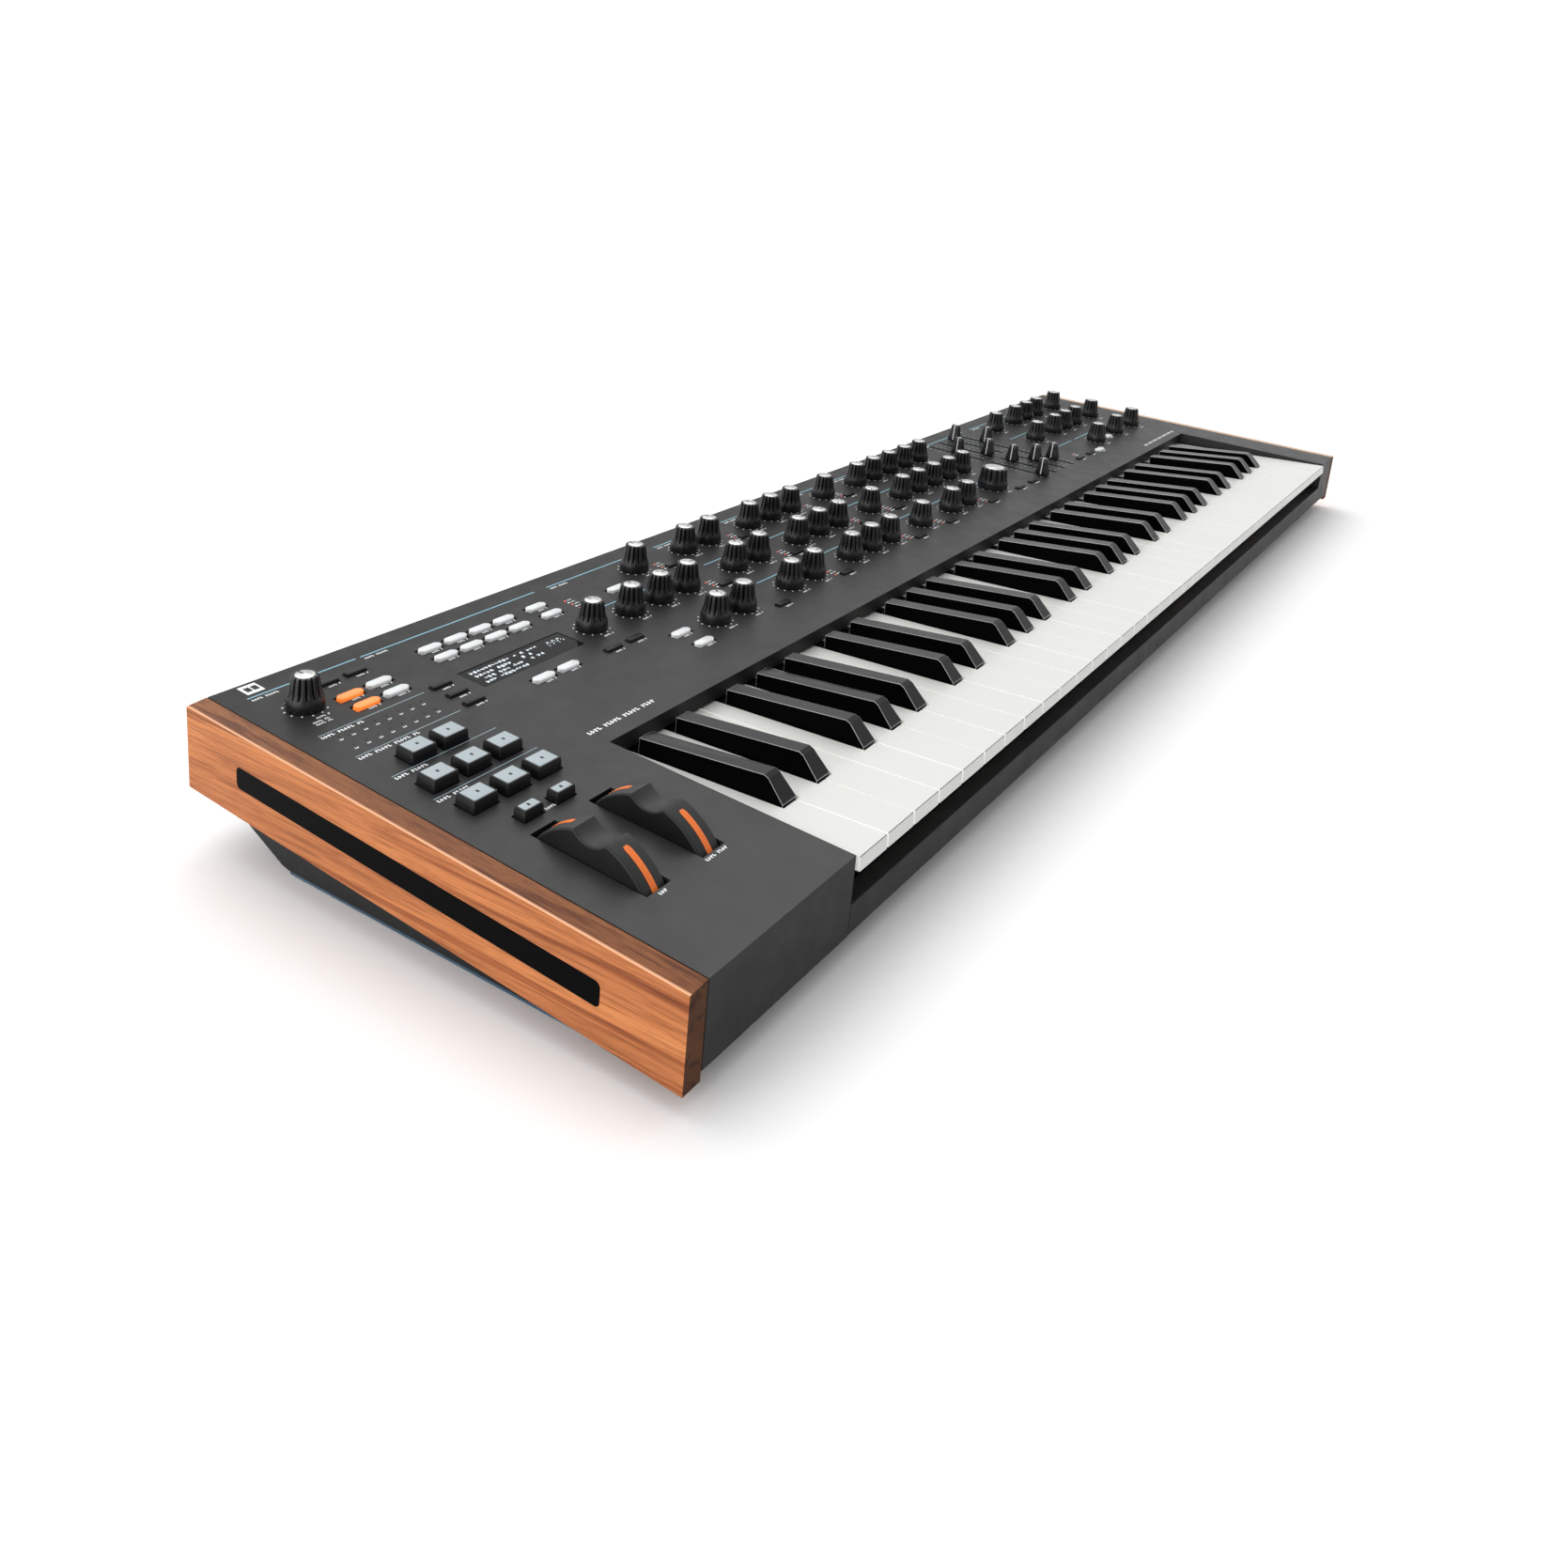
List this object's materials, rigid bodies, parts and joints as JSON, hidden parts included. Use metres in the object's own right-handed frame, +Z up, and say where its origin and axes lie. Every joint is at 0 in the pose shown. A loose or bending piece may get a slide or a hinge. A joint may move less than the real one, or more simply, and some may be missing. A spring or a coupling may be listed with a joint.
{
  "type": "keyboard synthesizer",
  "caption": "Keyboard synthesizer with a sloping control panel of knobs, faders and lit buttons, pitch and modulation wheels, wooden end cheeks and hinged keys.",
  "frame": {"origin": "middle of the footprint, on the surface the feet rest on", "axes": "+X to the player's right along the keyboard, +Y away from the player, +Z up"},
  "size_m": [1.01, 0.3078, 0.0884],
  "materials": {
    "chassis_black": "fine textured powder coat",
    "base_blue": "satin paint",
    "panel_grey": "matt powder coat",
    "walnut": "oiled walnut, satin",
    "gloss_black": "high gloss",
    "foot_blue": "matt rubber",
    "frame_steel": "zinc plated",
    "bright_steel": "bright",
    "contact_rubber": "matt silicone",
    "red_felt": "felt",
    "circuit_board": "solder mask",
    "socket_black": "matt moulded",
    "display_glass": "clear window",
    "display_body": "backlit panel",
    "screw_steel": "blackened",
    "knob_black": "soft-touch",
    "wheel_rubber": "soft rubber",
    "pad_grey": "translucent silicone",
    "button_white": "translucent, lit",
    "button_orange": "translucent, lit",
    "button_black": "matt moulded",
    "key_white": "gloss moulded",
    "key_black": "gloss moulded",
    "fader_black": "matt moulded"
  },
  "bodies": {
    "chassis": {"lower_chassis": "chassis_black", "base_plate": "base_blue", "top_panel": "panel_grey", "left_cheek": "walnut", "right_cheek": "walnut", "cheek_inlays": "gloss_black", "feet": "foot_blue", "key_slip": "panel_grey", "keybed_frame": "frame_steel", "key_pivot_rod": "bright_steel", "contact_strip": "contact_rubber", "key_felt": "red_felt", "control_board": "circuit_board", "main_board": "circuit_board", "power_supply": "frame_steel", "audio_jacks": "socket_black", "midi_sockets": "socket_black", "usb_socket": "bright_steel", "power_inlet": "socket_black", "display_window": "display_glass", "display_module": "display_body", "wheel_bracket": "frame_steel", "pots": "frame_steel", "slide_pots": "frame_steel", "screws": "screw_steel", "panel_knobs": "knob_black"},
    "key_c": {"key_c": "key_white"},
    "key_c_sharp": {"key_c_sharp": "key_black"},
    "key_d": {"key_d": "key_white"},
    "key_d_sharp": {"key_d_sharp": "key_black"},
    "key_e": {"key_e": "key_white"},
    "key_f": {"key_f": "key_white"},
    "key_f_sharp": {"key_f_sharp": "key_black"},
    "key_g": {"key_g": "key_white"},
    "key_g_sharp": {"key_g_sharp": "key_black"},
    "key_a": {"key_a": "key_white"},
    "key_a_sharp": {"key_a_sharp": "key_black"},
    "key_b": {"key_b": "key_white"},
    "pitch_wheel": {"pitch_wheel": "wheel_rubber"},
    "mod_wheel": {"mod_wheel": "wheel_rubber"},
    "fader_1": {"fader_1": "fader_black"},
    "fader_2": {"fader_2": "fader_black"},
    "fader_3": {"fader_3": "fader_black"},
    "fader_4": {"fader_4": "fader_black"},
    "fader_5": {"fader_5": "fader_black"},
    "fader_6": {"fader_6": "fader_black"},
    "fader_7": {"fader_7": "fader_black"},
    "fader_8": {"fader_8": "fader_black"},
    "power_switch": {"power_switch": "socket_black"},
    "pads": {"pads": "pad_grey"},
    "white_buttons": {"white_buttons": "button_white"},
    "orange_buttons": {"orange_buttons": "button_orange"},
    "black_buttons": {"black_buttons": "button_black"},
    "volume_knob": {"volume_knob": "knob_black"},
    "data_knob": {"data_knob": "knob_black"},
    "cutoff_knob": {"cutoff_knob": "knob_black"},
    "resonance_knob": {"resonance_knob": "knob_black"},
    "tempo_knob": {"tempo_knob": "knob_black"},
    "mix_knob": {"mix_knob": "knob_black"},
    "level_knob": {"level_knob": "knob_black"}
  },
  "joints": [
    {"name": "key_c_hinge", "type": "hinge", "parent": "chassis", "child": "key_c", "pos_m": [0, 0.024, 0.0474], "axis": [1, 0, 0], "range_deg": [0, 3.2], "stiffness_Nm_per_rad": 5, "springref_deg": -8.59},
    {"name": "key_c_sharp_hinge", "type": "hinge", "parent": "chassis", "child": "key_c_sharp", "pos_m": [0, 0.024, 0.0474], "axis": [1, 0, 0], "range_deg": [0, 4], "stiffness_Nm_per_rad": 5, "springref_deg": -8.59},
    {"name": "key_d_hinge", "type": "hinge", "parent": "chassis", "child": "key_d", "pos_m": [0, 0.024, 0.0474], "axis": [1, 0, 0], "range_deg": [0, 3.2], "stiffness_Nm_per_rad": 5, "springref_deg": -8.59},
    {"name": "key_d_sharp_hinge", "type": "hinge", "parent": "chassis", "child": "key_d_sharp", "pos_m": [0, 0.024, 0.0474], "axis": [1, 0, 0], "range_deg": [0, 4], "stiffness_Nm_per_rad": 5, "springref_deg": -8.59},
    {"name": "key_e_hinge", "type": "hinge", "parent": "chassis", "child": "key_e", "pos_m": [0, 0.024, 0.0474], "axis": [1, 0, 0], "range_deg": [0, 3.2], "stiffness_Nm_per_rad": 5, "springref_deg": -8.59},
    {"name": "key_f_hinge", "type": "hinge", "parent": "chassis", "child": "key_f", "pos_m": [0, 0.024, 0.0474], "axis": [1, 0, 0], "range_deg": [0, 3.2], "stiffness_Nm_per_rad": 5, "springref_deg": -8.59},
    {"name": "key_f_sharp_hinge", "type": "hinge", "parent": "chassis", "child": "key_f_sharp", "pos_m": [0, 0.024, 0.0474], "axis": [1, 0, 0], "range_deg": [0, 4], "stiffness_Nm_per_rad": 5, "springref_deg": -8.59},
    {"name": "key_g_hinge", "type": "hinge", "parent": "chassis", "child": "key_g", "pos_m": [0, 0.024, 0.0474], "axis": [1, 0, 0], "range_deg": [0, 3.2], "stiffness_Nm_per_rad": 5, "springref_deg": -8.59},
    {"name": "key_g_sharp_hinge", "type": "hinge", "parent": "chassis", "child": "key_g_sharp", "pos_m": [0, 0.024, 0.0474], "axis": [1, 0, 0], "range_deg": [0, 4], "stiffness_Nm_per_rad": 5, "springref_deg": -8.59},
    {"name": "key_a_hinge", "type": "hinge", "parent": "chassis", "child": "key_a", "pos_m": [0, 0.024, 0.0474], "axis": [1, 0, 0], "range_deg": [0, 3.2], "stiffness_Nm_per_rad": 5, "springref_deg": -8.59},
    {"name": "key_a_sharp_hinge", "type": "hinge", "parent": "chassis", "child": "key_a_sharp", "pos_m": [0, 0.024, 0.0474], "axis": [1, 0, 0], "range_deg": [0, 4], "stiffness_Nm_per_rad": 5, "springref_deg": -8.59},
    {"name": "key_b_hinge", "type": "hinge", "parent": "chassis", "child": "key_b", "pos_m": [0, 0.024, 0.0474], "axis": [1, 0, 0], "range_deg": [0, 3.2], "stiffness_Nm_per_rad": 5, "springref_deg": -8.59},
    {"name": "pitch_wheel_hinge", "type": "hinge", "parent": "chassis", "child": "pitch_wheel", "pos_m": [-0.4664, -0.07297, 0.03434], "axis": [1, 0, 0], "range_deg": [-30, 30], "stiffness_Nm_per_rad": 0.08},
    {"name": "mod_wheel_hinge", "type": "hinge", "parent": "chassis", "child": "mod_wheel", "pos_m": [-0.4316, -0.07297, 0.03434], "axis": [1, 0, 0], "range_deg": [-30, 30]},
    {"name": "fader_1_slide", "type": "slide", "parent": "chassis", "child": "fader_1", "axis": [0, 0.9976, 0.0698], "range_m": [-0.023, 0.025]},
    {"name": "fader_2_slide", "type": "slide", "parent": "chassis", "child": "fader_2", "axis": [0, 0.9976, 0.0698], "range_m": [-0.003, 0.045]},
    {"name": "fader_3_slide", "type": "slide", "parent": "chassis", "child": "fader_3", "axis": [0, 0.9976, 0.0698], "range_m": [-0.046, 0.002]},
    {"name": "fader_4_slide", "type": "slide", "parent": "chassis", "child": "fader_4", "axis": [0, 0.9976, 0.0698], "range_m": [-0.023, 0.025]},
    {"name": "fader_5_slide", "type": "slide", "parent": "chassis", "child": "fader_5", "axis": [0, 0.9976, 0.0698], "range_m": [-0.0025, 0.0455]},
    {"name": "fader_6_slide", "type": "slide", "parent": "chassis", "child": "fader_6", "axis": [0, 0.9976, 0.0698], "range_m": [-0.0395, 0.0085]},
    {"name": "fader_7_slide", "type": "slide", "parent": "chassis", "child": "fader_7", "axis": [0, 0.9976, 0.0698], "range_m": [-0.026, 0.022]},
    {"name": "fader_8_slide", "type": "slide", "parent": "chassis", "child": "fader_8", "axis": [0, 0.9976, 0.0698], "range_m": [-0.0175, 0.0305]},
    {"name": "power_switch_rock", "type": "hinge", "parent": "chassis", "child": "power_switch", "pos_m": [0.47, 0.14416, 0.04872], "axis": [1, 0, 0], "range_deg": [-12, 0]},
    {"name": "pads_press", "type": "slide", "parent": "chassis", "child": "pads", "axis": [0, 0.0698, -0.9976], "range_m": [0, 0.0008], "stiffness_N_per_m": 3000, "springref_m": -0.0008},
    {"name": "white_buttons_press", "type": "slide", "parent": "chassis", "child": "white_buttons", "axis": [0, 0.0698, -0.9976], "range_m": [0, 0.0008], "stiffness_N_per_m": 3000, "springref_m": -0.0008},
    {"name": "orange_buttons_press", "type": "slide", "parent": "chassis", "child": "orange_buttons", "axis": [0, 0.0698, -0.9976], "range_m": [0, 0.0008], "stiffness_N_per_m": 3000, "springref_m": -0.0008},
    {"name": "black_buttons_press", "type": "slide", "parent": "chassis", "child": "black_buttons", "axis": [0, 0.0698, -0.9976], "range_m": [0, 0.0008], "stiffness_N_per_m": 3000, "springref_m": -0.0008},
    {"name": "volume_knob_turn", "type": "hinge", "parent": "chassis", "child": "volume_knob", "pos_m": [-0.469, 0.1098, 0.0784], "axis": [0, -0.0698, 0.9976], "range_deg": [-140, 140]},
    {"name": "data_knob_turn", "type": "hinge", "parent": "chassis", "child": "data_knob", "pos_m": [-0.306, 0.07688, 0.07609], "axis": [0, -0.0698, 0.9976], "continuous": true},
    {"name": "cutoff_knob_turn", "type": "hinge", "parent": "chassis", "child": "cutoff_knob", "pos_m": [0.132, 0.03698, 0.0733], "axis": [0, -0.0698, 0.9976], "range_deg": [-140, 140]},
    {"name": "resonance_knob_turn", "type": "hinge", "parent": "chassis", "child": "resonance_knob", "pos_m": [0.077, 0.03399, 0.07309], "axis": [0, -0.0698, 0.9976], "range_deg": [-140, 140]},
    {"name": "tempo_knob_turn", "type": "hinge", "parent": "chassis", "child": "tempo_knob", "pos_m": [-0.273, 0.07688, 0.07609], "axis": [0, -0.0698, 0.9976], "range_deg": [-140, 140]},
    {"name": "mix_knob_turn", "type": "hinge", "parent": "chassis", "child": "mix_knob", "pos_m": [0.001, 0.11878, 0.07902], "axis": [0, -0.0698, 0.9976], "range_deg": [-140, 140]},
    {"name": "level_knob_turn", "type": "hinge", "parent": "chassis", "child": "level_knob", "pos_m": [0.448, 0.11878, 0.07902], "axis": [0, -0.0698, 0.9976], "range_deg": [-140, 140]}
  ]
}
